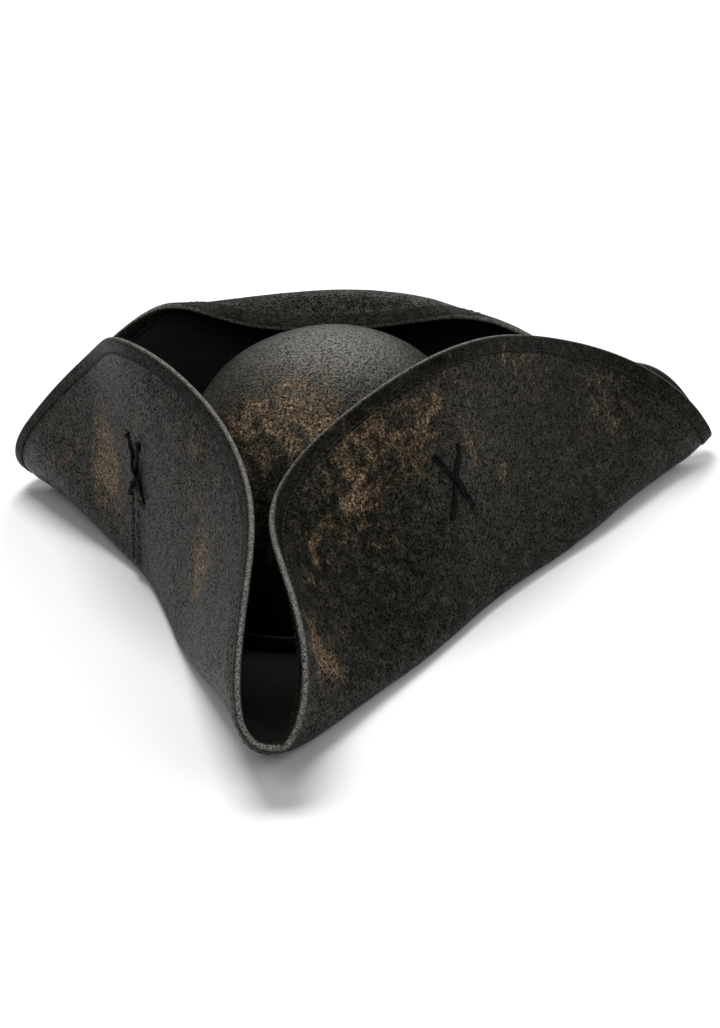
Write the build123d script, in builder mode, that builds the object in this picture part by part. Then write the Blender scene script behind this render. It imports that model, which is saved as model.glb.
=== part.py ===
from build123d import *
import math
import os

# Tricorne hat, in millimetres. +Z is up, the front corner points along -Y, and the
# origin is the centre of the head opening, on the surface that the hat stands on.

# ---------------------------------------------------------------- driving dimensions
CROWN_X, CROWN_Y, CROWN_Z = 88.5, 103.0, 123.5      # half width, half depth, height
CROWN_POWER = 2.35                                  # roundness of the dome: 2 is an ellipsoid
DENT, DENT_AT, DENT_SPREAD = 4.5, 190.0, 22.0       # the left lacing pulls the crown in
COVER, STIFFENER, LINING = 1.0, 1.2, 0.6            # thickness of the three layers
LAYERS = COVER + STIFFENER + LINING

BRIM_RADIUS = 225.0                                 # flat pattern of the brim, at the sides
BRIM_LONGER = 20.0                                  # more than that along +Y and -Y
BRIM_BACK = 13.0                                    # and more again at the middle of the back
SEAM_GAP = 0.3                                      # between the crown's wall and the brim

BINDING_WIDTH, BINDING = 9.0, 0.5                   # strip folded round the brim's edge
EDGE_ROOM = 1.6                                     # between the layers' rim and the fold
WIRE_RADIUS = 0.5                                   # millinery wire inside that fold
THREAD_RADIUS = 0.35
THREAD_INSET = 1.3                                  # stitching, inside a strip's border
TAPE_FOOT, TAPE_HEIGHT, TAPE = 4.2, 7.0, 0.8        # tape round the foot of the crown
BAND_HEIGHT, BAND, BAND_GAP = 34.0, 1.2, 0.1        # sweatband inside the head opening

CORD_RADIUS = 0.9                                   # lacing
CORD_LIFT = 0.4                                     # between a cord and the face it lies on
LACE_HOLE_RADIUS = 1.4
LACE_KNOT_RADIUS = 2.6
LACE_BEND = 1.3
LACE_X, LACE_Z = 8.0, 16.0                          # half width and half height of each X

# The brim is a flat oval sheet, turned up along three fold lines. Each flap is given at
# nine stations along its fold line, 50 mm apart: how far the line is from the crown's
# axis, and how many degrees the flap leans inward from upright. "soft" is half the
# width of the fold, in the middle and at the ends. "lacing" is the middle of its X:
# along the fold line, and up the flap.
STATION = 50.0
FLAPS = {
    "right": {
        "towards": -30,
        "distance": (107, 116, 111, 106.5, 99.5, 99.5, 101, 96.5, 97),
        "lean": (-51, 20, 40, 21, 9, 10, 16, 19, -4),
        "soft": (8, 19),
        "roll": 0,
        "lacing": (-9, 67),
    },
    "left": {
        "towards": 210,
        "distance": (122, 112, 100, 90, 95, 102, 107, 114, 116.5),
        "lean": (28, 19, 10, -1, 5, 13, 20, 28, 10),
        "soft": (6.5, 44),
        "roll": 0,
        "lacing": (-26, 66),
    },
    "back": {
        "towards": 90,
        "distance": (128, 125, 120, 118, 112, 112, 117, 118, 125.5),
        "lean": (-72, 41, 33, 11, -1, 3, 13, 10, -16),
        "soft": (9, 18),
        "roll": 123,
        "lacing": (0, 60),
    },
}
# The top of the back flap rolls forward over the crown.
ROLL_START, ROLL_LENGTH, ROLL_WIDTH, ROLL_CENTRE = 93.0, 40.0, 116.0, 16.0
SOFT_FROM, SOFT_OVER = 40.0, 120.0                  # where "soft" goes from middle to end

LOOP_POINTS = 96                                    # points round the hat in one loop
SECTORS = 24                                        # arcs that a loop is cut into
BRIM_STEPS = 20                                     # strips from the crown to the edge
BEND_STEPS = 20                                     # steps that add up one bend
DOME_LEVELS = 14
THREAD_SIDES = 6


# ---------------------------------------------------------------- shape of the hat
def smooth(x):
    x = min(max(x, 0.0), 1.0)
    return x * x * (3 - 2 * x)


def along(values, t):
    """Cubic B-spline of a flap's nine station values, t mm along its fold line."""
    ends = [2 * values[0] - values[1], *values, 2 * values[-1] - values[-2]]
    u = min(max(t / STATION + 4, 0.0), 7.999)
    i = int(u)
    f = u - i
    weights = ((1 - f) ** 3, 3 * f**3 - 6 * f**2 + 4, -3 * f**3 + 3 * f**2 + 3 * f + 1, f**3)
    return sum(w * v for w, v in zip(weights, ends[i:i + 4])) / 6


def crown_radius(angle, inset=0.0):
    """Radius of the crown's foot at a polar angle, `inset` mm inside its outer face."""
    oval = math.hypot(math.cos(angle) / (CROWN_X - inset), math.sin(angle) / (CROWN_Y - inset))
    away = math.remainder(angle - math.radians(DENT_AT), 2 * math.pi)
    return 1 / oval - DENT * math.exp(-((math.degrees(away) / DENT_SPREAD) ** 2))


def brim_edge(angle):
    """Radius of the brim's flat pattern at a polar angle."""
    s = math.sin(angle)
    return BRIM_RADIUS + BRIM_LONGER * s**2 + BRIM_BACK * max(s, 0.0) ** 6


def folded(x, y):
    """Where a point of the flat brim pattern lies on the hat's outer face."""
    place = Vector(x, y, 0)
    for flap in FLAPS.values():
        turn = math.radians(flap["towards"])
        t = y * math.cos(turn) - x * math.sin(turn)
        out = x * math.cos(turn) + y * math.sin(turn)
        middle, end = flap["soft"]
        soft = middle + (end - middle) * smooth((abs(t) - SOFT_FROM) / SOFT_OVER)
        past = out - along(flap["distance"], t) + soft
        if past <= 0:
            continue
        full = math.radians(90 + along(flap["lean"], t))
        spread = math.exp(-abs((t - ROLL_CENTRE) / ROLL_WIDTH) ** 3)
        roll = math.radians(flap["roll"]) * spread
        outward, upward = 0.0, 0.0
        for k in range(BEND_STEPS):
            reach = past * (k + 0.5) / BEND_STEPS
            bend = full * smooth(reach / (2 * soft))
            bend += roll * smooth((reach - soft - ROLL_START) / ROLL_LENGTH)
            outward += (math.cos(bend) - 1) * past / BEND_STEPS
            upward += math.sin(bend) * past / BEND_STEPS
        place += Vector(outward * math.cos(turn), outward * math.sin(turn), upward)
    return place


def raised(x, y, height):
    """A pattern point, `height` mm above the brim's outer face, towards the crown."""
    small = 0.05
    across = folded(x + small, y) - folded(x - small, y)
    up = folded(x, y + small) - folded(x, y - small)
    return folded(x, y) + across.cross(up).normalized() * height


def loop(points):
    """Closed smooth curve through the points, as arcs that meet end to end."""
    count = len(points)
    step = count // SECTORS
    points = [Vector(*point) for point in points]
    tangents = [points[(k + 1) % count] - points[k - 1] for k in range(count)]
    arcs = []
    for start in range(0, count, step):
        end = (start + step) % count
        through = [points[(start + k) % count] for k in range(step + 1)]
        arc = Edge.make_spline(
            through,
            tangents=[tangents[start], tangents[end]],
            parameters=[k / step for k in range(step + 1)],
        )
        arcs.append(Wire([arc]))
    return arcs


def brim_loop(share, inset, height):
    """Loop round the brim, `share` of the way from the crown to `inset` mm inside the
    edge, and `height` mm above the outer face."""
    points = []
    for k in range(LOOP_POINTS):
        angle = 2 * math.pi * k / LOOP_POINTS
        inner = crown_radius(angle) + SEAM_GAP
        r = inner + (brim_edge(angle) - inset - inner) * share
        points.append(raised(r * math.cos(angle), r * math.sin(angle), height))
    return loop(points)


def ring(loops):
    """Closed solid whose cross-section has one corner on each loop."""
    faces = []
    for arcs in zip(*loops):
        faces += Shell.make_loft(arcs, ruled=True).faces()
        faces += Shell.make_loft([arcs[-1], arcs[0]], ruled=True).faces()
    return Solid(Shell(faces))


def brim_layer(low, high):
    """One layer of the brim, between two heights above its outer face."""
    body = [k / BRIM_STEPS for k in range(BRIM_STEPS)]
    inset = BINDING_WIDTH
    under = [brim_loop(share, inset, low) for share in body]
    under += [brim_loop(1, inset, low), brim_loop(1, EDGE_ROOM, low)]
    over = [brim_loop(share, inset, high) for share in body]
    over += [brim_loop(1, inset, high), brim_loop(1, EDGE_ROOM, high)]
    return ring([*under, *reversed(over)])


def brim_thread(inset, height, radius, sides=THREAD_SIDES):
    """A thread or wire that runs round the brim, with a many-sided section."""
    corners = [2 * math.pi * k / sides for k in range(sides)]
    return ring([
        brim_loop(1, inset - radius * math.cos(c), height + radius * math.sin(c)) for c in corners
    ])


def crown_points(inset, z):
    """Points of the closed curve round the crown at height z."""
    shrink = (1 - (z / (CROWN_Z - inset)) ** CROWN_POWER) ** (1 / CROWN_POWER)
    points = []
    for k in range(LOOP_POINTS):
        angle = 2 * math.pi * k / LOOP_POINTS
        r = crown_radius(angle, inset) * shrink
        points.append((r * math.cos(angle), r * math.sin(angle), z))
    return points


def dome(inset):
    """The dome whose face lies `inset` mm inside the crown's outer face."""
    height = CROWN_Z - inset
    with BuildPart() as whole:
        for k in range(DOME_LEVELS + 1):
            rise = (math.pi / 2 - 0.03) * k / DOME_LEVELS
            z = height * math.sin(rise) ** (2 / CROWN_POWER)
            with BuildSketch(Plane.XY.offset(z)):
                with BuildLine():
                    Spline(*[(x, y) for x, y, _ in crown_points(inset, z)][::2], periodic=True)
                make_face()
        loft()
    return whole.part


def crown_thread(inset, z, radius, sides=THREAD_SIDES):
    """A thread that runs round the crown at height z."""
    corners = [2 * math.pi * k / sides for k in range(sides)]
    return ring([
        loop(crown_points(inset + radius * math.cos(c), z + radius * math.sin(c))) for c in corners
    ])


# ---------------------------------------------------------------- lacing routes
def inside_crown(place):
    """True where a point is clear of the crown's lining, inside the dome."""
    inset = LAYERS + CORD_RADIUS + CORD_LIFT
    if place.Z >= CROWN_Z - inset:
        return False
    shrink = (1 - (place.Z / (CROWN_Z - inset)) ** CROWN_POWER) ** (1 / CROWN_POWER)
    reach = crown_radius(math.atan2(place.Y, place.X), inset) * shrink
    return math.hypot(place.X, place.Y) < reach


class Lacing:
    """The X of one flap: its four holes, and the cord's route through them."""

    def __init__(self, flap):
        turn = math.radians(flap["towards"])
        self.flap = flap
        self.outward = Vector(math.cos(turn), math.sin(turn), 0)
        self.sideways = Vector(-math.sin(turn), math.cos(turn), 0)
        middle = self.outside(0, 0, 0)
        self.into = Vector(-middle.X, -middle.Y, 0).normalized()

    def outside(self, across, up, lift):
        """A point on the flap, `lift` mm out from its outer face."""
        t = self.flap["lacing"][0] + across
        out = along(self.flap["distance"], t) + self.flap["lacing"][1] + up
        flat = self.outward * out + self.sideways * t
        return raised(flat.X, flat.Y, -lift)

    def leg(self, across, up):
        """The two ends of one straight leg, outside the flap and inside the crown."""
        start = self.outside(across, up, CORD_RADIUS + CORD_LIFT)
        end = start
        while not inside_crown(end):
            end += self.into * 0.5
        return start, end

    def legs(self):
        return [self.leg(x * LACE_X, z * LACE_Z) for x, z in ((-1, 1), (1, -1), (1, 1), (-1, -1))]

    def route(self):
        (a_out, a_in), (b_out, b_in), (c_out, c_in), (d_out, d_in) = self.legs()
        knot = (a_in + d_in) / 2 + self.into * LACE_KNOT_RADIUS
        over = self.outside(0, 0, 3 * CORD_RADIUS + 3 * CORD_LIFT)
        return [knot, a_in, a_out, over, b_out, b_in, c_in, c_out, d_out, d_in, knot]


def rounded(points, radius):
    """Draws straight lines through the points, with an arc at each corner."""
    start = points[0]
    for before, corner, after in zip(points, points[1:], points[2:]):
        back = (before - corner).normalized()
        ahead = (after - corner).normalized()
        half = math.radians(back.get_angle(ahead)) / 2
        cut = radius / math.tan(half)
        depth = radius / math.sin(half) - radius
        Line(start, corner + back * cut)
        ThreePointArc(
            corner + back * cut,
            corner + (back + ahead).normalized() * depth,
            corner + ahead * cut,
        )
        start = corner + ahead * cut
    Line(start, points[-1])


def lacing_cord(lacing):
    """One cord along its route, from its knot out, across twice and back."""
    points = lacing.route()
    meet = (points[5] + points[6]) / 2
    with BuildPart() as cord:
        for half in ([*points[:6], meet], [*points[:5:-1], meet]):
            with BuildSketch(Plane(origin=half[0], z_dir=half[1] - half[0])):
                Circle(CORD_RADIUS)
            with BuildLine() as path:
                rounded(half, LACE_BEND)
            sweep(path=path.line)
        with Locations(points[0]):
            Sphere(LACE_KNOT_RADIUS)
    return cord.part


lacings = {name: Lacing(flap) for name, flap in FLAPS.items()}
with BuildPart() as lace_holes:
    for lacing in lacings.values():
        for outer, inner in lacing.legs():
            with BuildSketch(Plane(origin=outer, z_dir=inner - outer)):
                Circle(LACE_HOLE_RADIUS)
            extrude(amount=(inner - outer).length)

# ---------------------------------------------------------------- crown
with BuildPart() as crown_cover:
    add(dome(0))
    add(dome(COVER), mode=Mode.SUBTRACT)
    add(lace_holes.part, mode=Mode.SUBTRACT)

with BuildPart() as crown_stiffener:
    add(dome(COVER))
    add(dome(COVER + STIFFENER), mode=Mode.SUBTRACT)
    add(lace_holes.part, mode=Mode.SUBTRACT)

with BuildPart() as crown_lining:
    add(dome(COVER + STIFFENER))
    add(dome(LAYERS), mode=Mode.SUBTRACT)
    add(lace_holes.part, mode=Mode.SUBTRACT)

with BuildPart() as sweatband:
    add(dome(LAYERS + BAND_GAP))
    add(dome(LAYERS + BAND_GAP + BAND), mode=Mode.SUBTRACT)
    split(bisect_by=Plane.XY.offset(BAND_HEIGHT), keep=Keep.BOTTOM)

with BuildPart() as sweatband_thread:
    add(crown_thread(LAYERS + BAND_GAP + BAND + THREAD_RADIUS, BAND_HEIGHT - 3, THREAD_RADIUS))

with BuildPart() as crown_seam_tape:
    add(dome(-BAND_GAP - TAPE))
    add(dome(-BAND_GAP), mode=Mode.SUBTRACT)
    split(bisect_by=Plane.XY.offset(TAPE_FOOT), keep=Keep.TOP)
    split(bisect_by=Plane.XY.offset(TAPE_FOOT + TAPE_HEIGHT), keep=Keep.BOTTOM)

with BuildPart() as crown_seam_thread:
    seam_top = TAPE_FOOT + TAPE_HEIGHT - THREAD_INSET
    add(crown_thread(-BAND_GAP - TAPE - THREAD_RADIUS, seam_top, THREAD_RADIUS))

# ---------------------------------------------------------------- brim
with BuildPart() as brim_cover:
    add(brim_layer(0, COVER))
    add(lace_holes.part, mode=Mode.SUBTRACT)

with BuildPart() as brim_stiffener:
    add(brim_layer(COVER, COVER + STIFFENER))
    add(lace_holes.part, mode=Mode.SUBTRACT)

with BuildPart() as brim_lining:
    add(brim_layer(COVER + STIFFENER, LAYERS))
    add(lace_holes.part, mode=Mode.SUBTRACT)

with BuildPart() as brim_edge_binding:
    outline = (
        (BINDING_WIDTH, -BINDING), (0, -BINDING), (0, LAYERS + BINDING),
        (BINDING_WIDTH, LAYERS + BINDING), (BINDING_WIDTH, LAYERS),
        (BINDING, LAYERS), (BINDING, 0), (BINDING_WIDTH, 0),
    )
    add(ring([brim_loop(1, inset, height) for inset, height in outline]))

with BuildPart() as brim_edge_wire:
    middle_of_edge = (BINDING + EDGE_ROOM) / 2
    add(brim_thread(middle_of_edge, LAYERS / 2, WIRE_RADIUS - 0.05))

with BuildPart() as binding_thread_outer:
    add(brim_thread(BINDING_WIDTH - THREAD_INSET, -BINDING - THREAD_RADIUS, THREAD_RADIUS))

with BuildPart() as binding_thread_inner:
    top = LAYERS + BINDING + THREAD_RADIUS
    add(brim_thread(BINDING_WIDTH - THREAD_INSET, top, THREAD_RADIUS))

# ---------------------------------------------------------------- lacing
with BuildPart() as lacing_right:
    add(lacing_cord(lacings["right"]))

with BuildPart() as lacing_left:
    add(lacing_cord(lacings["left"]))

with BuildPart() as lacing_back:
    add(lacing_cord(lacings["back"]))

# ---------------------------------------------------------------- write
os.makedirs("parts", exist_ok=True)
pieces = {
    "crown_cover": crown_cover,
    "crown_stiffener": crown_stiffener,
    "crown_lining": crown_lining,
    "sweatband": sweatband,
    "sweatband_thread": sweatband_thread,
    "crown_seam_tape": crown_seam_tape,
    "crown_seam_thread": crown_seam_thread,
    "brim_cover": brim_cover,
    "brim_stiffener": brim_stiffener,
    "brim_lining": brim_lining,
    "brim_edge_binding": brim_edge_binding,
    "brim_edge_wire": brim_edge_wire,
    "binding_thread_outer": binding_thread_outer,
    "binding_thread_inner": binding_thread_inner,
    "lacing_right": lacing_right,
    "lacing_left": lacing_left,
    "lacing_back": lacing_back,
}
for name, piece in pieces.items():
    piece.part.label = name
    export_step(piece.part, f"parts/{name}.step")
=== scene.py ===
import math

import bpy
import numpy as np
from mathutils import Matrix, Vector, noise


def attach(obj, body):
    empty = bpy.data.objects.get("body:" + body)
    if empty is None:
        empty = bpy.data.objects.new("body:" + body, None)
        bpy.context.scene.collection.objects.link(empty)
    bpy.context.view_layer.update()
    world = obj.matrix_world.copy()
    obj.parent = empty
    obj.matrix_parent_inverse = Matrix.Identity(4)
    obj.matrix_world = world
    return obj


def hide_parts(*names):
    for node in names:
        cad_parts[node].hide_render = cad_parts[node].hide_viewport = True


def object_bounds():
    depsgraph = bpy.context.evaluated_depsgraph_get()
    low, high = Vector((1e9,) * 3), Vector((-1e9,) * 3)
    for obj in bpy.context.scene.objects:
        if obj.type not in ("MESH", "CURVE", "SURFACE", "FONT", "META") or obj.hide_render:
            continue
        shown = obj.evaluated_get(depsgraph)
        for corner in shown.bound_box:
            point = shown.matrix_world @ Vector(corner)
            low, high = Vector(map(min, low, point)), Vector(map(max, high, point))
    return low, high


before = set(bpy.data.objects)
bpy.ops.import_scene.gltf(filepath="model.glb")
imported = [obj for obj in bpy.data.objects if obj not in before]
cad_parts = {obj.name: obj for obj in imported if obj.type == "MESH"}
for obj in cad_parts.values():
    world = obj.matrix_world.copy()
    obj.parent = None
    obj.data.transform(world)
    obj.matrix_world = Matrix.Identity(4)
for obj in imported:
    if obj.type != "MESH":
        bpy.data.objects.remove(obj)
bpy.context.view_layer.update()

# Tricorne hat. Sizes are in millimetres, as in the CAD, until mesh_object() turns them
# into metres. +Z is up and the front corner points along -Y.
MM = 0.001

# ---------------------------------------------------------------- sizes, as in the CAD
CROWN_X, CROWN_Y, CROWN_Z = 88.5, 103.0, 123.5
CROWN_POWER = 2.35
DENT, DENT_AT, DENT_SPREAD = 4.5, 190.0, 22.0
COVER, STIFFENER, LINING = 1.0, 1.2, 0.6
LAYERS = COVER + STIFFENER + LINING
BRIM_RADIUS, BRIM_LONGER, BRIM_BACK = 225.0, 20.0, 13.0
SEAM_GAP = 0.3
BINDING_WIDTH, BINDING = 9.0, 0.5
EDGE_ROOM = 1.6
THREAD_INSET = 1.3
TAPE_FOOT, TAPE_HEIGHT, TAPE = 4.2, 7.0, 0.8
BAND_HEIGHT, BAND, BAND_GAP = 34.0, 1.2, 0.1
CORD_RADIUS, CORD_LIFT = 0.9, 0.4
LACE_KNOT_RADIUS = 2.6
LACE_X, LACE_Z = 8.0, 16.0

STATION = 50.0
FLAPS = {
    "right": {
        "towards": -30,
        "distance": (107, 116, 111, 106.5, 99.5, 99.5, 101, 96.5, 97),
        "lean": (-51, 20, 40, 21, 9, 10, 16, 19, -4),
        "soft": (8, 19),
        "roll": 0,
        "lacing": (-9, 67),
    },
    "left": {
        "towards": 210,
        "distance": (122, 112, 100, 90, 95, 102, 107, 114, 116.5),
        "lean": (28, 19, 10, -1, 5, 13, 20, 28, 10),
        "soft": (6.5, 44),
        "roll": 0,
        "lacing": (-26, 66),
    },
    "back": {
        "towards": 90,
        "distance": (128, 125, 120, 118, 112, 112, 117, 118, 125.5),
        "lean": (-72, 41, 33, 11, -1, 3, 13, 10, -16),
        "soft": (9, 18),
        "roll": 123,
        "lacing": (0, 60),
    },
}
ROLL_START, ROLL_LENGTH, ROLL_WIDTH, ROLL_CENTRE = 93.0, 40.0, 116.0, 16.0
SOFT_FROM, SOFT_OVER = 40.0, 120.0
BEND_STEPS = 24

# ---------------------------------------------------------------- sizes of the detail
AROUND = 960                # mesh columns round the hat
ACROSS = 100                # mesh rows from the crown to the brim's edge
CORNER_CROWDING = 0.6       # how much closer the columns are at the three corners
DOME_ROWS, DOME_COLUMNS = 110, 480
DOME_END = 0.985            # the last row is just short of the dome's top
BINDING_COLUMNS, STRIP_COLUMNS = 1800, 900
SLOPE_STEP = 0.05           # distance over which a normal is measured

# slow waves of each layer: (height, size of a lump, seed)
BRIM_WAVES = ((0.4, 34.0, 3.0), (0.16, 9.0, 8.0))
FELT_WAVES = ((0.3, 22.0, 5.0),)
CROWN_WAVES = ((0.5, 38.0, 1.0), (0.14, 10.0, 6.0))
CAP_WAVES = ((0.6, 26.0, 4.0), (0.25, 8.0, 9.0))
BAND_WAVES = ((0.12, 16.0, 2.0),)
BINDING_WAVES = ((0.05, 5.0, 2.0),)
CROWN_SINK = 0.3            # keeps the crown's waves mostly inside its smooth form
# where the waves fade out: the distance at which they start, and over how much they grow
FADE_AT_BINDING = (BINDING_WIDTH, 12)
FADE_AT_SEAM = (90, 25)
FADE_AT_FOOT = (12, 18)
FADE_AT_BAND = (BAND_HEIGHT, 20)

STITCH_PITCH, STITCH_LENGTH, STITCH_RADIUS = 4.0, 3.0, 0.32
STITCH_PLACES = 7200        # places round the hat that stitches are laid out on
STITCH_POINTS = 7           # points along one stitch
STITCH_ARCH, STITCH_ENDS = 0.42, 0.3    # a stitch rises by the first; its ends sink by the second
STITCH_SLANT = 0.22         # how far its ends are off the row's line, to either side
STITCH_TWIST = 3.0
STITCH_SINK = 0.22          # how deep the thread pulls the binding in
GATHER, GATHER_WIDTH = 0.07, 1.4        # the binding's swelling between stitches
BAND_STITCH_DROP = 3.0      # from the sweatband's top edge to its stitches
RIM_WIDTH = 0.5             # how far from the edge the binding is rubbed grey and given a painted highlight

PUCKER, PUCKER_REACH = 0.75, 3.2    # how deep and wide a lacing hole pulls the leather
LIP, LIP_AWAY, LIP_WIDTH = 0.7, 5.5, 2.4        # the swelling round each hole
CREASE, CREASE_WIDTH = 0.8, 1.5     # the crease that runs down from the left lacing
CREASE_TOP, CREASE_FOOT = (-30, 50), (-43, 12)      # its ends, on the left flap
FOLD, FOLD_AWAY, FOLD_WIDTH = 1.8, 4.0, 3.2     # the two folds beside it
DEEPEST = 0.85              # the stiffener is right under the leather

STRAND_RADIUS, STRAND_APART = 0.82, 0.8     # each lacing is two strands side by side
STRAND_TWIST = 2.2
STRAND_GROOVE = 0.22        # depth of the groove between a strand's two yarns, of its radius
WANDER, WANDER_TURN = 0.25, 0.21        # how the strands stray from their line
CORD_REST = CORD_RADIUS * 0.6           # a lacing's middle above the leather
CORD_SPACING = 0.9          # between points along a lacing
CORD_TURN = 0.2             # how far inside its hole a lacing turns to lie on the flap
STROKE_ENDS, STROKE_POINTS = 0.06, 9
STROKE_BOW = 0.25
CROSSING_LIFT, CROSSING_WIDTH = 1.9, 0.16   # how the upper stroke rises over the lower one
KNOT_SIZE, KNOT_SWING, KNOT_DEPTH = 1.15, 0.55, 0.75
KNOT_CORD, KNOT_STEPS = 0.62, 90

FLOOR_SIZE, FLOOR_GAP = 12, 0.0002      # metres
LIGHTS_AT = (0, 0, 0.06)                # where the lamps point, in metres
SKY = 0.22


# ---------------------------------------------------------------- shape of the hat
def smooth(x):
    x = np.clip(x, 0.0, 1.0)
    return x * x * (3 - 2 * x)


def along(values, t):
    """Cubic B-spline of a flap's nine station values, t mm along its fold line."""
    ends = np.array([2 * values[0] - values[1], *values, 2 * values[-1] - values[-2]])
    u = np.clip(t / STATION + 4, 0.0, 7.999)
    i = u.astype(int)
    f = u - i
    weights = ((1 - f) ** 3, 3 * f**3 - 6 * f**2 + 4, -3 * f**3 + 3 * f**2 + 3 * f + 1, f**3)
    return sum(w * ends[i + k] for k, w in enumerate(weights)) / 6


def crown_radius(angle, inset=0.0):
    """Radius of the crown's foot at a polar angle, `inset` mm inside its outer face."""
    oval = np.hypot(np.cos(angle) / (CROWN_X - inset), np.sin(angle) / (CROWN_Y - inset))
    away = np.degrees(np.angle(np.exp(1j * (angle - math.radians(DENT_AT)))))
    return 1 / oval - DENT * np.exp(-((away / DENT_SPREAD) ** 2))


def brim_edge(angle):
    """Radius of the brim's flat pattern at a polar angle."""
    s = np.sin(angle)
    return BRIM_RADIUS + BRIM_LONGER * s**2 + BRIM_BACK * np.clip(s, 0, None) ** 6


def on_flap(flap, x, y):
    """A pattern point as (mm along the flap's fold line, mm out past the line)."""
    turn = math.radians(flap["towards"])
    t = y * math.cos(turn) - x * math.sin(turn)
    out = x * math.cos(turn) + y * math.sin(turn)
    return t, out - along(flap["distance"], t)


def folded(x, y):
    """Where points of the flat brim pattern lie on the hat's outer face."""
    x = np.asarray(x, float)
    y = np.asarray(y, float)
    place = np.stack([x, y, np.zeros_like(x)], axis=-1)
    for flap in FLAPS.values():
        turn = math.radians(flap["towards"])
        t, beyond = on_flap(flap, x, y)
        middle, end = flap["soft"]
        soft = middle + (end - middle) * smooth((abs(t) - SOFT_FROM) / SOFT_OVER)
        past = np.clip(beyond + soft, 0, None)
        full = np.radians(90 + along(flap["lean"], t))
        spread = np.exp(-(abs((t - ROLL_CENTRE) / ROLL_WIDTH) ** 3))
        roll = math.radians(flap["roll"]) * spread
        outward = np.zeros_like(x)
        upward = np.zeros_like(x)
        for k in range(BEND_STEPS):
            reach = past * (k + 0.5) / BEND_STEPS
            bend = full * smooth(reach / (2 * soft))
            bend = bend + roll * smooth((reach - soft - ROLL_START) / ROLL_LENGTH)
            outward += (np.cos(bend) - 1) * past / BEND_STEPS
            upward += np.sin(bend) * past / BEND_STEPS
        shift = (outward * math.cos(turn), outward * math.sin(turn), upward)
        place += np.stack(shift, axis=-1)
    return place


def brim_normal(x, y):
    """Unit normal of the outer face, towards the crown side."""
    across = folded(x + SLOPE_STEP, y) - folded(x - SLOPE_STEP, y)
    up = folded(x, y + SLOPE_STEP) - folded(x, y - SLOPE_STEP)
    normal = np.cross(across, up)
    return normal / np.linalg.norm(normal, axis=-1, keepdims=True)


def column_angles(count=AROUND):
    """Polar angles of the mesh columns, closer together at the three corners."""
    even = np.arange(count) * 2 * math.pi / count
    return even - CORNER_CROWDING / 3 * np.sin(3 * (even - math.radians(30)))


def brim_pattern(angle, share, inset):
    """Flat pattern points, `share` of the way from the crown to `inset` mm inside the edge."""
    inner = crown_radius(angle) + SEAM_GAP
    r = inner + (brim_edge(angle) - inset - inner) * share
    return r * np.cos(angle), r * np.sin(angle)


def crown_points(angle, rise, inset):
    """Points of the dome `inset` mm inside its outer face; rise goes from 0 to a right angle."""
    r = crown_radius(angle, inset) * np.cos(rise) ** (2 / CROWN_POWER)
    z = (CROWN_Z - inset) * np.sin(rise) ** (2 / CROWN_POWER)
    return np.stack([r * np.cos(angle), r * np.sin(angle), z + 0 * r], axis=-1)


# ---------------------------------------------------------------- relief of the leather
def bumps(points, size, seed):
    """Smooth noise from -1 to 1 at each point, with lumps about `size` mm across."""
    flat = points.reshape(-1, 3) / size + seed
    values = [noise.noise(Vector(p)) for p in flat]
    return np.array(values).reshape(points.shape[:-1])


def swell(points, waves, shift=0.0):
    """Waves of a layer in mm; a shift of 1 or -1 keeps them all on one side."""
    return sum(height * (bumps(points, size, seed) + shift) for height, size, seed in waves)


def fade(distance, start_and_width):
    """From 0 to 1 as the distance grows past the start."""
    start, width = start_and_width
    return smooth((distance - start) / width)


def line_distance(t, q, start, end):
    """Distance of flap points from a straight line between two of them."""
    start = np.array(start, float)
    run = np.array(end, float) - start
    share = np.clip(((t - start[0]) * run[0] + (q - start[1]) * run[1]) / (run @ run), 0, 1)
    return np.hypot(t - start[0] - run[0] * share, q - start[1] - run[1] * share)


def lacing_relief(x, y):
    """How far the lacing and its crease pull the leather in, towards the crown."""
    pull = np.zeros_like(x)
    for flap in FLAPS.values():
        t, q = on_flap(flap, x, y)
        middle_t, middle_q = flap["lacing"]
        for side in (-1, 1):
            for end in (-1, 1):
                away = np.hypot(t - middle_t - side * LACE_X, q - middle_q - end * LACE_Z)
                pull += PUCKER * np.exp(-((away / PUCKER_REACH) ** 2))
                pull -= LIP * np.exp(-(((away - LIP_AWAY) / LIP_WIDTH) ** 2))
    t, q = on_flap(FLAPS["left"], x, y)
    away = line_distance(t, q, CREASE_TOP, CREASE_FOOT)
    pull += CREASE * np.exp(-((away / CREASE_WIDTH) ** 2))
    pull -= FOLD * np.exp(-(((away - FOLD_AWAY) / FOLD_WIDTH) ** 2))
    return np.minimum(pull, DEEPEST)


# ---------------------------------------------------------------- mesh helpers
def mesh_object(name, points, faces):
    """A mesh object from points in mm."""
    mesh = bpy.data.meshes.new(name)
    mesh.from_pydata((np.asarray(points) * MM).tolist(), [], faces)
    mesh.validate()
    mesh.polygons.foreach_set("use_smooth", [True] * len(mesh.polygons))
    mesh.update()
    thing = bpy.data.objects.new(name, mesh)
    bpy.context.scene.collection.objects.link(thing)
    return thing


def tube_faces(rows, columns):
    """Quads of a grid whose rows and columns both close on themselves."""
    i, j = np.meshgrid(np.arange(rows), np.arange(columns), indexing="ij")
    below = (i + 1) % rows
    beside = (j + 1) % columns
    corners = (i * columns + j, i * columns + beside, below * columns + beside, below * columns + j)
    return np.stack(corners, axis=-1).reshape(-1, 4).tolist()


def closed_section(name, rows):
    """A ring-shaped piece from its rows of points, (rows, columns, 3); the last row joins the first."""
    rows = np.asarray(rows)
    return mesh_object(name, rows.reshape(-1, 3), tube_faces(rows.shape[0], rows.shape[1]))


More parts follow.
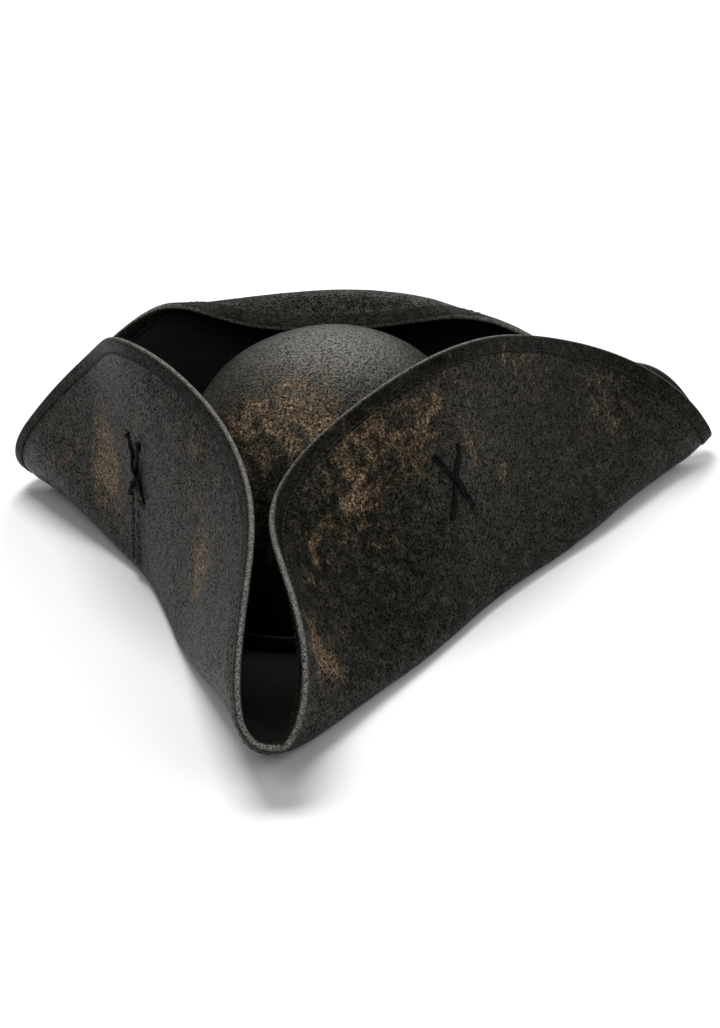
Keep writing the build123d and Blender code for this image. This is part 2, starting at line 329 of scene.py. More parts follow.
def dome_object(name, outer, inner):
    """A hollow dome from two grids of points that start at its rim and end near its top."""
    rows, columns = outer.shape[:2]
    grid = np.concatenate([inner[::-1], outer])
    points = np.concatenate([grid.reshape(-1, 3), [inner[-1].mean(axis=0)], [outer[-1].mean(axis=0)]])
    faces = []
    for i in range(2 * rows - 1):
        for j in range(columns):
            k = (j + 1) % columns
            faces.append((i * columns + j, i * columns + k, (i + 1) * columns + k, (i + 1) * columns + j))
    low, high = 2 * rows * columns, 2 * rows * columns + 1
    last = (2 * rows - 1) * columns
    for j in range(columns):
        k = (j + 1) % columns
        faces.append((k, j, low))
        faces.append((last + j, last + k, high))
    return mesh_object(name, points, faces)


def strand(path, radius, sides, twist):
    """Points and faces of a closed-ended cord of two twisted yarns along a path in mm."""
    path = np.asarray(path, float)
    ahead = np.gradient(path, axis=0)
    ahead /= np.linalg.norm(ahead, axis=1, keepdims=True)
    step = np.linalg.norm(np.diff(path, axis=0), axis=1)
    run = np.concatenate([[0], np.cumsum(step)])
    side = np.cross(ahead[0], (0.3, 0.2, 0.9))
    points = []
    for k, centre in enumerate(path):
        side = side - ahead[k] * (side @ ahead[k])
        side /= np.linalg.norm(side)
        other = np.cross(ahead[k], side)
        for c in range(sides):
            turn = 2 * math.pi * c / sides
            r = radius * (1 - STRAND_GROOVE * math.cos(2 * turn + twist * run[k]))
            points.append(centre + r * (math.cos(turn) * side + math.sin(turn) * other))
    count = len(path)
    faces = []
    for k in range(count - 1):
        for c in range(sides):
            d = (c + 1) % sides
            faces.append((k * sides + c, k * sides + d, (k + 1) * sides + d, (k + 1) * sides + c))
    faces.append(tuple(range(sides))[::-1])
    faces.append(tuple((count - 1) * sides + c for c in range(sides)))
    return points, faces


def joined(name, tubes):
    """One object from several (points, faces)."""
    points = []
    faces = []
    for more_points, more_faces in tubes:
        first = len(points)
        points.extend(more_points)
        faces.extend(tuple(v + first for v in face) for face in more_faces)
    return mesh_object(name, points, faces)


def smooth_path(points, spacing):
    """Catmull-Rom curve through the points, in steps of about `spacing` mm."""
    points = [np.asarray(p, float) for p in points]
    padded = [2 * points[0] - points[1], *points, 2 * points[-1] - points[-2]]
    path = []
    for a, b, c, d in zip(padded, padded[1:], padded[2:], padded[3:]):
        steps = max(int(np.linalg.norm(c - b) / spacing), 2)
        for k in range(steps):
            u = k / steps
            path.append(0.5 * (2 * b + (c - a) * u + (2 * a - 5 * b + 4 * c - d) * u**2
                               + (3 * b - a - 3 * c + d) * u**3))
    path.append(points[-1])
    return np.array(path)


def store(thing, name, values):
    """Keeps one number per point on the mesh, for its material to read."""
    layer = thing.data.attributes.new(name, "FLOAT", "POINT")
    layer.data.foreach_set("value", np.asarray(values, float).ravel())


# ---------------------------------------------------------------- materials
class Shader:
    """A few words for building a node material."""

    def __init__(self, name):
        self.material = bpy.data.materials.new(name)
        self.material.use_nodes = True
        self.nodes = self.material.node_tree.nodes
        self.links = self.material.node_tree.links
        self.surface = self.nodes["Principled BSDF"]

    def link(self, source, socket):
        if hasattr(source, "is_output"):
            self.links.new(source, socket)
        else:
            socket.default_value = source

    def place(self, stretch=(1, 1, 1)):
        """Coordinates in mm, stretched."""
        coordinates = self.nodes.new("ShaderNodeTexCoord")
        mapping = self.nodes.new("ShaderNodeMapping")
        mapping.inputs["Scale"].default_value = [s / MM for s in stretch]
        self.links.new(coordinates.outputs["Object"], mapping.inputs["Vector"])
        return mapping.outputs["Vector"]

    def noise(self, size, detail=4.0, roughness=0.6, distortion=0.0, stretch=(1, 1, 1)):
        """Noise from 0 to 1, with lumps about `size` mm across."""
        node = self.nodes.new("ShaderNodeTexNoise")
        node.inputs["Scale"].default_value = 1 / size
        node.inputs["Detail"].default_value = detail
        node.inputs["Roughness"].default_value = roughness
        node.inputs["Distortion"].default_value = distortion
        self.links.new(self.place(stretch), node.inputs["Vector"])
        return node.outputs["Fac"]

    def cells(self, size):
        """Smooth distance field of cells about `size` mm across."""
        node = self.nodes.new("ShaderNodeTexVoronoi")
        node.feature = "SMOOTH_F1"
        node.inputs["Scale"].default_value = 1 / size
        self.links.new(self.place(), node.inputs["Vector"])
        return node.outputs["Distance"]

    def waves(self, size, direction, stretch=(1, 1, 1)):
        """Slightly uneven bands from 0 to 1, about `size` mm apart."""
        node = self.nodes.new("ShaderNodeTexWave")
        node.bands_direction = direction
        node.inputs["Scale"].default_value = 1 / (size * math.pi)
        node.inputs["Distortion"].default_value = 0.4
        self.links.new(self.place(stretch), node.inputs["Vector"])
        return node.outputs["Fac"]

    def stored(self, name):
        """A number that store() kept on the mesh."""
        node = self.nodes.new("ShaderNodeAttribute")
        node.attribute_name = name
        return node.outputs["Fac"]

    def math(self, operation, a, b, clamp=False):
        node = self.nodes.new("ShaderNodeMath")
        node.operation = operation
        node.use_clamp = clamp
        self.link(a, node.inputs[0])
        self.link(b, node.inputs[1])
        return node.outputs[0]

    def between(self, value, low, high, to_low=0.0, to_high=1.0):
        """The value's way from low to high, eased, as a number from to_low to to_high."""
        node = self.nodes.new("ShaderNodeMapRange")
        node.interpolation_type = "SMOOTHSTEP"
        self.link(value, node.inputs["Value"])
        node.inputs["From Min"].default_value = low
        node.inputs["From Max"].default_value = high
        node.inputs["To Min"].default_value = to_low
        node.inputs["To Max"].default_value = to_high
        return node.outputs["Result"]

    def mix(self, share, first, second):
        node = self.nodes.new("ShaderNodeMix")
        node.data_type = "RGBA"
        self.link(share, node.inputs["Factor"])
        self.link(first, node.inputs["A"])
        self.link(second, node.inputs["B"])
        return node.outputs["Result"]

    def bump(self, height, depth, below=None):
        """Bump of `depth` mm, on top of another one."""
        node = self.nodes.new("ShaderNodeBump")
        node.inputs["Strength"].default_value = 1.0
        node.inputs["Distance"].default_value = depth * MM
        self.link(height, node.inputs["Height"])
        if below is not None:
            self.links.new(below, node.inputs["Normal"])
        return node.outputs["Normal"]

    def finish(self, color, roughness, normal, **plain):
        self.link(color, self.surface.inputs["Base Color"])
        self.link(roughness, self.surface.inputs["Roughness"])
        if normal is not None:
            self.links.new(normal, self.surface.inputs["Normal"])
        for name, value in plain.items():
            self.surface.inputs[name.replace("_", " ")].default_value = value
        return self.material


BLACK = (0.002, 0.002, 0.0016, 1)
CHARCOAL = (0.02, 0.0196, 0.0145, 1)
GREY = (0.058, 0.055, 0.043, 1)
# light grey used for dust and for the painted highlight
DUST_AND_HIGHLIGHT_GREY = (0.34, 0.325, 0.295, 1)
RUST = (0.09, 0.058, 0.034, 1)
TAN = (0.34, 0.245, 0.15, 1)
# grey of the binding's rubbed edge, which also serves as its painted highlight
EDGE_GREY = (0.2, 0.195, 0.18, 1)
LEATHER_IOR = 1.19          # a dull, waxy gloss that stays low at a slant


def distressed_leather(name, patchy=1.0, grain=1.15, shine=1.0, scuffed=1.0):
    """Near-black faux leather, with a pebbled grain and rubbed, rusty patches."""
    s = Shader(name)
    pebble = s.noise(grain, detail=2.0, roughness=0.6, distortion=0.3)
    fine = s.noise(0.6, detail=3.0, roughness=0.75, distortion=0.5)
    mottle = s.noise(5.5, detail=6.0, roughness=0.75, distortion=0.8)
    broad = s.noise(26.0, detail=4.0, roughness=0.65, distortion=0.4)
    tops = s.between(pebble, 0.36, 0.62)
    base = s.mix(s.between(mottle, 0.3, 0.68), BLACK, CHARCOAL)
    scuff = s.math("MULTIPLY", s.between(mottle, 0.46, 0.66), s.between(broad, 0.38, 0.62))
    scuff = s.math("MULTIPLY", scuff, scuffed)
    base = s.mix(s.math("MULTIPLY", scuff, s.between(fine, 0.42, 0.6)), base, GREY)
    # greyer where the stored patches say: partly dust, partly a painted highlight
    dust_and_highlight_share = s.math("MULTIPLY", s.stored("dust_and_highlight"), s.between(fine, 0.34, 0.66))
    base = s.mix(dust_and_highlight_share, base, DUST_AND_HIGHLIGHT_GREY)
    # rubbed patches: where the stored wear is high, broken up by noise of three sizes
    wear = s.math("MULTIPLY", s.stored("wear"), patchy)
    drift = s.noise(15.0, detail=5.0, roughness=0.6, distortion=1.4)
    ragged = s.noise(4.5, detail=5.0, roughness=0.7, distortion=1.0, stretch=(1, 1, 0.6))
    reach = s.math("ADD", wear, s.math("MULTIPLY", s.math("SUBTRACT", drift, 0.5), 1.9))
    reach = s.math("ADD", reach, s.math("MULTIPLY", s.math("SUBTRACT", ragged, 0.5), 1.7))
    flecks = s.noise(1.3, detail=3.0, roughness=0.7, distortion=0.6)
    rusty = s.math("MULTIPLY", s.between(reach, 0.3, 0.8), s.between(flecks, 0.3, 0.56))
    bare = s.math("MULTIPLY", s.between(reach, 0.5, 1.0), s.between(flecks, 0.46, 0.62))
    color = s.mix(rusty, base, RUST)
    color = s.mix(bare, color, TAN)
    # painted highlight along the binding's edge, together with a rubbed grey
    rim = s.math("MULTIPLY", s.stored("rim"), s.between(fine, 0.3, 0.5))
    color = s.mix(rim, color, EDGE_GREY)
    # painted shade: the hollows between the pebbles are darkened towards black, and they stay dull
    color = s.mix(s.between(tops, 0.0, 1.0, 0.2, 1.0), BLACK, color)
    gloss = s.math("MULTIPLY", tops, s.between(mottle, 0.34, 0.66, 0.5 * shine, 0.9 * shine))
    s.link(gloss, s.surface.inputs["Specular IOR Level"])
    rough = s.between(fine, 0.3, 0.7, 0.3, 0.52)
    rough = s.math("ADD", rough, s.math("MULTIPLY", rusty, 0.15), clamp=True)
    normal = s.bump(mottle, 0.35)
    normal = s.bump(pebble, 0.45, normal)
    normal = s.bump(fine, 0.12, normal)
    return s.finish(color, rough, normal, Specular_Tint=(1.0, 0.95, 0.8, 1), IOR=LEATHER_IOR)


def felt(name, dark, light, nap):
    """Flat felt: tangled short fibres."""
    s = Shader(name)
    tangle = s.noise(0.5, detail=6.0, roughness=0.8, distortion=1.5)
    clump = s.noise(6.0, detail=3.0)
    color = s.mix(s.between(tangle, 0.35, 0.7), dark, light)
    color = s.mix(s.between(clump, 0.3, 0.8, 0.0, 0.35), color, dark)
    rough = s.between(tangle, 0.2, 0.8, 0.85, 1.0)
    normal = s.bump(clump, 0.3)
    normal = s.bump(tangle, nap, normal)
    return s.finish(color, rough, normal, Specular_IOR_Level=0.08)


def woven(name, dark, light, thread_mm):
    """Plain-woven lining or ribbon."""
    s = Shader(name)
    warp = s.waves(thread_mm, "Z")
    weft = s.waves(thread_mm, "DIAGONAL", stretch=(1, 1, 0.05))
    weave = s.math("MULTIPLY", warp, weft)
    slub = s.noise(4.0, detail=4.0, stretch=(1, 1, 4))
    color = s.mix(weave, dark, light)
    color = s.mix(s.between(slub, 0.4, 0.8, 0.0, 0.5), color, dark)
    rough = s.between(weave, 0.0, 1.0, 0.65, 0.45)
    return s.finish(color, rough, s.bump(weave, 0.08), Sheen_Weight=0.1)


def smooth_leather(name):
    """The sweatband: thin, even faux leather with a small pebble grain."""
    s = Shader(name)
    pebble = s.cells(0.9)
    patch = s.noise(14.0, detail=3.0)
    color = s.mix(s.between(pebble, 0.1, 0.6), CHARCOAL, BLACK)
    color = s.mix(s.between(patch, 0.4, 0.8, 0.0, 0.4), color, CHARCOAL)
    rough = s.between(patch, 0.3, 0.7, 0.38, 0.52)
    return s.finish(color, rough, s.bump(pebble, 0.14))


def thread(name, dark, light, gloss=0.2):
    """Waxed thread or cord: fine fibres along a twisted strand."""
    s = Shader(name)
    fibre = s.noise(0.25, detail=4.0, roughness=0.7)
    soil = s.noise(5.0, detail=3.0)
    color = s.mix(s.between(fibre, 0.35, 0.7), dark, light)
    color = s.mix(s.between(soil, 0.45, 0.8, 0.0, 0.6), color, dark)
    rough = s.between(fibre, 0.3, 0.7, 0.7 - 0.8 * gloss, 0.8 - 0.6 * gloss)
    return s.finish(color, rough, s.bump(fibre, 0.06), Specular_IOR_Level=gloss)


def steel_wire(name):
    s = Shader(name)
    drawn = s.noise(0.4, detail=3.0)
    color = s.mix(drawn, (0.4, 0.4, 0.41, 1), (0.6, 0.6, 0.61, 1))
    return s.finish(color, s.between(drawn, 0.3, 0.7, 0.25, 0.4), s.bump(drawn, 0.02), Metallic=1.0)


def floor_material():
    s = Shader("studio_floor")
    speck = s.noise(40.0, detail=2.0)
    color = s.mix(speck, (0.86, 0.86, 0.86, 1), (0.88, 0.88, 0.88, 1))
    return s.finish(color, s.between(speck, 0.3, 0.7, 0.8, 0.9), None)


LOOKS = {
    "distressed_leather": distressed_leather("distressed_leather"),
    "binding_leather": distressed_leather("binding_leather", patchy=0.35, grain=0.8, shine=0.5, scuffed=0.1),
    "sweatband_leather": smooth_leather("sweatband_leather"),
    "stiff_felt": felt("stiff_felt", (0.05, 0.048, 0.045, 1), (0.13, 0.125, 0.12, 1), 0.2),
    "felt_lining": felt("felt_lining", (0.009, 0.009, 0.0086, 1), (0.03, 0.0295, 0.027, 1), 0.18),
    "black_lining": woven("black_lining", (0.006, 0.006, 0.0065, 1), (0.03, 0.03, 0.032, 1), 0.45),
    "thread": thread("thread", (0.006, 0.0055, 0.005, 1), (0.035, 0.032, 0.03, 1)),
    "lacing_cord": thread("lacing_cord", (0.0005, 0.0005, 0.0005, 1), (0.002, 0.002, 0.0018, 1), gloss=0.12),
    "steel_wire": steel_wire("steel_wire"),
}


def dress(thing, slot, node):
    """Gives a piece its material and its body, and hides the CAD node it stands for."""
    thing.data.materials.clear()
    thing.data.materials.append(LOOKS[slot])
    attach(thing, "root")
    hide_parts(node)


# ---------------------------------------------------------------- rubbed patches, and greyer patches of dust and painted highlight
# Where the leather is rubbed: centre in mm, how far the patch reaches, and how strongly.
WORN = (
    ((-8, -50, 116), 32, 0.6),
    ((-34, -78, 92), 26, 0.5),
    ((20, -70, 108), 22, 0.5),
    ((62, -78, 98), 26, 0.75),
    ((40, -108, 86), 24, 0.75),
    ((24, -128, 64), 18, 0.5),
    ((14, -172, 44), 20, 0.85),
    ((30, -176, 34), 12, 0.6),
    ((78, -48, 118), 24, 0.5),
    ((112, 8, 112), 28, 0.75),
    ((96, -30, 62), 14, 0.45),
    ((84, -40, 80), 14, 0.5),
    ((-114, 20, 72), 22, 0.5),
    ((-120, 14, 46), 26, 0.85),
    ((-92, -24, 98), 12, 0.4),
    ((-40, -112, 62), 20, 0.75),
    ((-46, -112, 44), 14, 0.6),
    ((0, 92, 128), 12, 0.5),
    ((-150, 70, 45), 22, 0.45),
    ((-70, 120, 70), 28, 0.5),
    ((40, 128, 60), 30, 0.5),
    ((110, 122, 50), 24, 0.45),
    ((140, 60, 60), 26, 0.4),
)

# Where it is greyer, in the same way. This is partly dust and partly painted light: a painted highlight on
# the crown's top, and a lighter painted patch on the right flap round its lacing.
DUST_AND_HIGHLIGHT_PATCHES = (
    ((5, 0, 124), 42, 0.7),
    ((88, -48, 72), 30, 0.1),
    ((84, -44, 104), 30, 0.08),
)


def patches_at(points, patches):
    """How strongly each point is covered by soft round patches."""
    cover = np.zeros(points.shape[:-1])
    for centre, reach, strength in patches:
        away = np.linalg.norm(points - np.array(centre), axis=-1)
        cover += strength * np.exp(-((away / reach) ** 2))
    return cover


# ---------------------------------------------------------------- brim
def brim_face(height, outside):
    """Grid of points of one face of the brim, from the crown to its rim, and the pattern's."""
    angle = column_angles()[None, :]
    body = np.linspace(0, 1, ACROSS)[:, None]
    x, y = brim_pattern(angle, body, EDGE_ROOM)
    relief = lacing_relief(x, y)
    lift = height + (relief if outside else np.clip(relief, 0, None))
    points = folded(x, y) + brim_normal(x, y) * lift[..., None]
    return points, x, y


def make_brim():
    outer, x, y = brim_face(0.0, True)
    normal = brim_normal(x, y)
    rise = swell(outer, BRIM_WAVES, -1)
    # the waves fade where the binding and the crown's seam lie on the leather
    edge = brim_edge(np.arctan2(y, x)) - np.hypot(x, y)
    free = fade(edge, FADE_AT_BINDING) * fade(np.hypot(x, y), FADE_AT_SEAM)
    outer = outer + normal * (rise * free)[..., None]
    middle, _, _ = brim_face(COVER, True)
    middle = middle + normal * (rise * free)[..., None]
    cover = closed_section("brim_cover_leather", np.concatenate([outer, middle[::-1]]))
    for name, patches in (("wear", WORN), ("dust_and_highlight", DUST_AND_HIGHLIGHT_PATCHES)):
        amount = patches_at(outer, patches)
        store(cover, name, np.concatenate([amount, amount[::-1] * 0]))
    dress(cover, "distressed_leather", "brim_cover")

    low, _, _ = brim_face(COVER + STIFFENER, False)
    high, _, _ = brim_face(LAYERS, False)
    soft = swell(high, FELT_WAVES) * free
    high = high + normal * soft[..., None]
    lining = closed_section("brim_lining_felt", np.concatenate([low, high[::-1]]))
    dress(lining, "felt_lining", "brim_lining")


def binding_section():
    """Corners of the binding's section: (mm inside the edge, mm above the outer face)."""
    half = LAYERS / 2 + BINDING
    border = BINDING_WIDTH
    groove = border - THREAD_INSET
    outer = [(border, 0.05), (border, -0.3), (border - 0.25, -BINDING), (groove + 0.45, -BINDING)]
    outer += [(groove, -BINDING + STITCH_SINK), (groove - 0.5, -BINDING), (groove - 2.0, -BINDING - 0.06)]
    outer += [(3.6, -BINDING - 0.04)]
    fold = []
    for k in range(9):
        turn = math.pi * k / 8
        fold.append((half - half * math.sin(turn), LAYERS / 2 - half * math.cos(turn)))
    inner = [(inset, LAYERS - height) for inset, height in reversed(outer)]
    return outer + fold + inner


def make_binding():
    angle = column_angles(BINDING_COLUMNS)
    x0, y0 = brim_pattern(angle, 1.0, 0)
    edge = folded(x0, y0)
    step = np.linalg.norm(np.diff(edge, axis=0, append=edge[:1]), axis=1)
    run = np.concatenate([[0], np.cumsum(step)[:-1]])
    rows = []
    rim = []
    wear = []
    for inset, height in binding_section():
        x, y = brim_pattern(angle, 1.0, inset)
        surface = folded(x, y)
        ripple = swell(surface, BINDING_WAVES)
        near = math.exp(-((inset - BINDING_WIDTH + THREAD_INSET) / GATHER_WIDTH) ** 2)
        pull = GATHER * near * np.cos(2 * math.pi * run / STITCH_PITCH)
        side = 1 if height > LAYERS / 2 else -1
        lift = height + side * (ripple + pull)
        rows.append(surface + brim_normal(x, y) * lift[:, None])
        rim.append(np.full(len(angle), math.exp(-((inset / RIM_WIDTH) ** 2))))
        wear.append(patches_at(rows[-1], WORN) * (1 if side < 0 else 0.25))
    binding = closed_section("brim_edge_binding_leather", rows)
    store(binding, "wear", np.concatenate(wear))
    store(binding, "rim", np.concatenate(rim))
    dress(binding, "binding_leather", "brim_edge_binding")


def stitch_row(name, node, surface_at):
    """A closed row of separate stitches; surface_at(share) gives points and their normals."""
    shares = np.arange(STITCH_PLACES) / STITCH_PLACES
    points, normals = surface_at(shares)
    step = np.linalg.norm(np.diff(points, axis=0, append=points[:1]), axis=1)
    run = np.concatenate([[0], np.cumsum(step)[:-1]])
    total = run[-1] + step[-1]
    count = int(total / STITCH_PITCH)
    tubes = []
    for k in range(count):
        start = k * total / count
        at = start + STITCH_LENGTH * np.linspace(0, 1, STITCH_POINTS)
        where = np.searchsorted(run, at % total).clip(0, STITCH_PLACES - 1)
        arch = np.sin(np.linspace(0, math.pi, STITCH_POINTS)) * STITCH_ARCH - STITCH_ENDS
        path = points[where] + normals[where] * arch[:, None]
        slant = np.linspace(-STITCH_SLANT, STITCH_SLANT, STITCH_POINTS)
        sideways = np.cross(points[where[-1]] - points[where[0]], normals[where[STITCH_POINTS // 2]])
        sideways /= np.linalg.norm(sideways)
        path = path + sideways * slant[:, None]
        tubes.append(strand(path, STITCH_RADIUS, sides=6, twist=STITCH_TWIST))
    dress(joined(name, tubes), "thread", node)


def make_binding_stitches():
    inset = BINDING_WIDTH - THREAD_INSET

    def at(height, side):
        def surface(shares):
            angle = 2 * math.pi * shares
            x, y = brim_pattern(angle, 1.0, inset)
            normal = brim_normal(x, y)
            return folded(x, y) + normal * height, normal * side
        return surface

    outside = at(-BINDING + STITCH_SINK * 0.4, -1)
    inside = at(LAYERS + BINDING - STITCH_SINK * 0.4, 1)
    stitch_row("binding_stitches_outer", "binding_thread_outer", outside)
    stitch_row("binding_stitches_inner", "binding_thread_inner", inside)


# ---------------------------------------------------------------- crown
def dome_grid(inset):
    angle = (np.arange(DOME_COLUMNS) * 2 * math.pi / DOME_COLUMNS)[None, :]
    rise = (np.linspace(0, 1, DOME_ROWS) * math.pi / 2 * DOME_END)[:, None]
    return crown_points(angle, rise, inset)


def outward_of(points, inset):
    """Rough unit normals of the dome, from its oval form."""
    size = np.array([CROWN_X - inset, CROWN_Y - inset, CROWN_Z - inset])
    away = np.sign(points) * np.abs(points / size) ** (CROWN_POWER - 1) / size
    return away / np.linalg.norm(away, axis=-1, keepdims=True)


def make_crown():
    outer = dome_grid(0.0)
    rise = swell(outer, CROWN_WAVES)
    free = fade(outer[..., 2], FADE_AT_FOOT)
    outer = outer + outward_of(outer, 0.0) * (rise * free - CROWN_SINK * free)[..., None]
    inner = dome_grid(COVER)
    cover = dome_object("crown_cover_leather", outer, inner)
    for name, patches in (("wear", WORN), ("dust_and_highlight", DUST_AND_HIGHLIGHT_PATCHES)):
        amount = patches_at(outer, patches)
        store(cover, name, np.concatenate([(0 * amount).ravel(), amount.ravel(), [0, amount[-1].mean()]]))
    dress(cover, "distressed_leather", "crown_cover")

    back = dome_grid(COVER + STIFFENER)
    front = dome_grid(LAYERS)
    sag = swell(front, CAP_WAVES, 1)
    free = fade(front[..., 2], FADE_AT_BAND)
    front = front - outward_of(front, LAYERS) * (sag * free)[..., None]
    lining = dome_object("crown_lining_fabric", back, front)
    dress(lining, "black_lining", "crown_lining")


def crown_at(z, inset, angle):
    """Points round the crown at height z."""
    rise = math.asin((z / (CROWN_Z - inset)) ** (CROWN_POWER / 2))
    return crown_points(angle, rise, inset)


def make_sweatband():
    angle = np.arange(STRIP_COLUMNS) * 2 * math.pi / STRIP_COLUMNS
    back = LAYERS + BAND_GAP
    face = back + BAND
    # corners of its section: (mm inside the crown's outer face, height)
    section = [(back, 0.15), (back, BAND_HEIGHT - 0.3)]
    section += [(back + 0.3, BAND_HEIGHT), (face - 0.3, BAND_HEIGHT)]
    section += [(face, z) for z in (BAND_HEIGHT - 0.5, BAND_HEIGHT - 2.4)]
    section += [(face - STITCH_SINK, BAND_HEIGHT - BAND_STITCH_DROP)]
    section += [(face, z) for z in (BAND_HEIGHT - 3.6, 27.0, 23.0, 18.0, 13.0, 8.0, 4.0, 1.6)]
    section += [(face - 0.1, 0.6), (face - 0.45, 0.1)]
    rows = []
    for inset, z in section:
        ring = crown_at(z, inset, angle)
        wave = swell(ring, BAND_WAVES, 1) * (inset > back + 0.2)
        rows.append(ring - outward_of(ring, inset) * wave[:, None])
    band = closed_section("sweatband_leather_strip", rows)
    dress(band, "sweatband_leather", "sweatband")

    def at(shares):
        place = crown_at(BAND_HEIGHT - BAND_STITCH_DROP, face, 2 * math.pi * shares)
        return place, -outward_of(place, face)

    stitch_row("sweatband_stitches", "sweatband_thread", at)


def make_seam_tape():
    angle = np.arange(STRIP_COLUMNS) * 2 * math.pi / STRIP_COLUMNS
    top = TAPE_FOOT + TAPE_HEIGHT
    back = -BAND_GAP
    face = -BAND_GAP - TAPE
    # corners of its section, as for the sweatband
    section = [(back, TAPE_FOOT), (-0.5, TAPE_FOOT)]
    section += [(face + 0.05, TAPE_FOOT + 0.3), (face, TAPE_FOOT + 3.5)]
    section += [(face, top - THREAD_INSET - 0.6), (-0.75, top - THREAD_INSET), (face + 0.02, top - 0.6)]
    section += [(-0.6, top), (back, top)]
    tape = closed_section("crown_seam_tape_ribbon", [crown_at(z, inset, angle) for inset, z in section])
    dress(tape, "black_lining", "crown_seam_tape")

    def at(shares):
        place = crown_at(top - THREAD_INSET, -TAPE, 2 * math.pi * shares)
        return place, outward_of(place, 0.0)

    stitch_row("crown_seam_stitches", "crown_seam_thread", at)


# ---------------------------------------------------------------- lacing
def flap_point(flap, t, q, lift):
    """A point `lift` mm out from a flap's outer face."""
    turn = math.radians(flap["towards"])
    out = float(along(flap["distance"], np.array(t, float))) + q
    x = np.array(out * math.cos(turn) - t * math.sin(turn))
    y = np.array(out * math.sin(turn) + t * math.cos(turn))
    return folded(x, y) - brim_normal(x, y) * (lift - float(lacing_relief(x, y)))


def inside_crown(place):
    """True where a point is clear of the crown's lining, inside the dome."""
    inset = LAYERS + CORD_RADIUS + CORD_LIFT
    if place[2] >= CROWN_Z - inset:
        return False
    shrink = (1 - (place[2] / (CROWN_Z - inset)) ** CROWN_POWER) ** (1 / CROWN_POWER)
    reach = crown_radius(np.array(math.atan2(place[1], place[0])), inset) * shrink
    return math.hypot(place[0], place[1]) < reach


def make_lacing(side):
    """Two strands side by side: knot, out, across, in, across inside, out, across, in, knot."""
    flap = FLAPS[side]
    middle_t, middle_q = flap["lacing"]
    middle = flap_point(flap, middle_t, middle_q, 0)
    into = -np.array([middle[0], middle[1], 0])
    into /= np.linalg.norm(into)

    def leg(across, up):
        start = flap_point(flap, middle_t + across * LACE_X, middle_q + up * LACE_Z, CORD_REST)
        end = start
        while not inside_crown(end):
            end = end + into * 0.5
        return start, end

    def stroke(start, end, high):
        """Points of one stroke over the flap, a little bowed, `high` mm up at its middle."""
        points = []
        for share in np.linspace(STROKE_ENDS, 1 - STROKE_ENDS, STROKE_POINTS):
            across = start[0] + (end[0] - start[0]) * share
            up = start[1] + (end[1] - start[1]) * share
            lift = CORD_REST + high * math.exp(-(((share - 0.5) / CROSSING_WIDTH) ** 2))
            lift += STROKE_BOW * math.sin(math.pi * share)
            points.append(flap_point(flap, middle_t + across * LACE_X, middle_q + up * LACE_Z, lift))
        return points

    a_out, a_in = leg(-1, 1)
    b_out, b_in = leg(1, -1)
    c_out, c_in = leg(1, 1)
    d_out, d_in = leg(-1, -1)
    knot = (a_in + d_in) / 2 + into * LACE_KNOT_RADIUS
    turn = into * CORD_TURN
    route = [knot, a_in, a_out - turn, *stroke((-1, 1), (1, -1), CROSSING_LIFT), b_out - turn, b_in]
    route += [c_in, c_out - turn, *stroke((1, 1), (-1, -1), 0.0), d_out - turn, d_in, knot]
    centre = smooth_path(route, CORD_SPACING)
    ahead = np.gradient(centre, axis=0)
    ahead /= np.linalg.norm(ahead, axis=1, keepdims=True)
    beside = np.cross(ahead, into + np.array([0, 0, 0.05]))
    length = np.linalg.norm(beside, axis=1, keepdims=True)
    beside = np.where(length > 0.3, beside / np.maximum(length, 1e-6), np.array([0, 0, 1.0]))
    tubes = []
    for offset in (-STRAND_APART, STRAND_APART):
        wander = WANDER * np.sin(np.arange(len(centre)) * WANDER_TURN + offset * 3)
        path = centre + beside * (offset + wander)[:, None]
        tubes.append(strand(path, STRAND_RADIUS, sides=10, twist=STRAND_TWIST))
    tubes.append(knot_tube(knot, into))
    lacing = joined(f"lacing_{side}_cord", tubes)
    dress(lacing, "lacing_cord", f"lacing_{side}")


def knot_tube(centre, into):
    """A small tight overhand knot."""
    up = np.array([0, 0, 1.0])
    beside = np.cross(into, up)
    path = []
    for k in range(KNOT_STEPS + 1):
        u = 4 * math.pi * k / KNOT_STEPS
        r = KNOT_SIZE + KNOT_SWING * math.cos(1.5 * u)
        round_it = r * (math.cos(u) * up + math.sin(u) * beside)
        path.append(centre + round_it + into * KNOT_DEPTH * math.sin(1.5 * u))
    return strand(path, KNOT_CORD, sides=8, twist=STRAND_TWIST)


# ---------------------------------------------------------------- build
make_brim()
make_binding()
make_binding_stitches()
make_crown()
make_sweatband()
make_seam_tape()
for flap_name in FLAPS:
    make_lacing(flap_name)


CAD_LOOKS = {"crown_stiffener": "stiff_felt", "brim_stiffener": "stiff_felt", "brim_edge_wire": "steel_wire"}
for node, look in CAD_LOOKS.items():
    for slot_of_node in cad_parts[node].material_slots:
        slot_of_node.material = LOOKS[look]

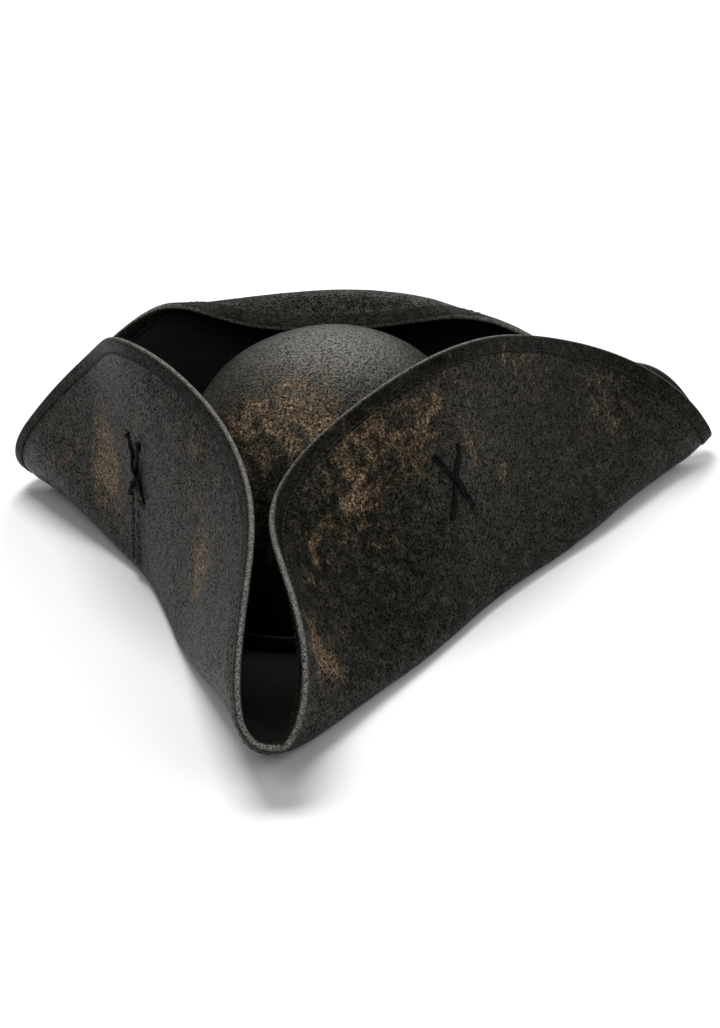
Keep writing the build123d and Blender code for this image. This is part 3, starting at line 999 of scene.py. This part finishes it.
# ---------------------------------------------------------------- stage, camera and light
bpy.ops.mesh.primitive_plane_add(size=FLOOR_SIZE, location=(0, 0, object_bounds()[0][2] - FLOOR_GAP))
floor = bpy.context.object
floor.name = "studio_floor"
floor.data.materials.append(floor_material())

AZIMUTH, ELEVATION, TILT = math.radians(10.58), math.radians(24.13), math.radians(-5.87)
DISTANCE = 1391.0
AIM_RIGHT, AIM_UP = 11.71, 26.11
LENS = 94.3

behind = Vector((
    math.sin(AZIMUTH) * math.cos(ELEVATION),
    -math.cos(AZIMUTH) * math.cos(ELEVATION),
    math.sin(ELEVATION),
))
level = Vector((math.cos(AZIMUTH), math.sin(AZIMUTH), 0))
raised_up = behind.cross(level)
right = level * math.cos(TILT) + raised_up * math.sin(TILT)
upward = raised_up * math.cos(TILT) - level * math.sin(TILT)
camera = bpy.data.objects.new("camera", bpy.data.cameras.new("camera"))
camera.data.lens = LENS
camera.data.clip_end = 50
place = (behind * DISTANCE + right * AIM_RIGHT + upward * AIM_UP) * MM
camera.matrix_world = Matrix.Translation(place) @ Matrix((right, upward, behind)).transposed().to_4x4()
bpy.context.scene.collection.objects.link(camera)
bpy.context.scene.camera = camera


def area_light(name, place, size, watts):
    """A square lamp; its place and size are in metres."""
    light = bpy.data.lights.new(name, "AREA")
    light.size = size
    light.energy = watts
    lamp = bpy.data.objects.new(name, light)
    lamp.location = place
    lamp.rotation_euler = (Vector(LIGHTS_AT) - Vector(place)).to_track_quat("-Z", "Y").to_euler()
    bpy.context.scene.collection.objects.link(lamp)


area_light("top", (-0.15, 0.25, 1.9), 1.0, 31)
area_light("key", (-0.2, -1.5, 1.6), 0.9, 8)
area_light("back", (0.1, 1.7, 1.1), 0.8, 14)
area_light("fill", (1.4, -1.1, 1.3), 1.0, 12)

world = bpy.data.worlds.new("studio")
world.use_nodes = True
world.node_tree.nodes["Background"].inputs["Color"].default_value = (1, 1, 1, 1)
world.node_tree.nodes["Background"].inputs["Strength"].default_value = SKY
bpy.context.scene.world = world
bpy.context.scene.view_settings.view_transform = "Standard"
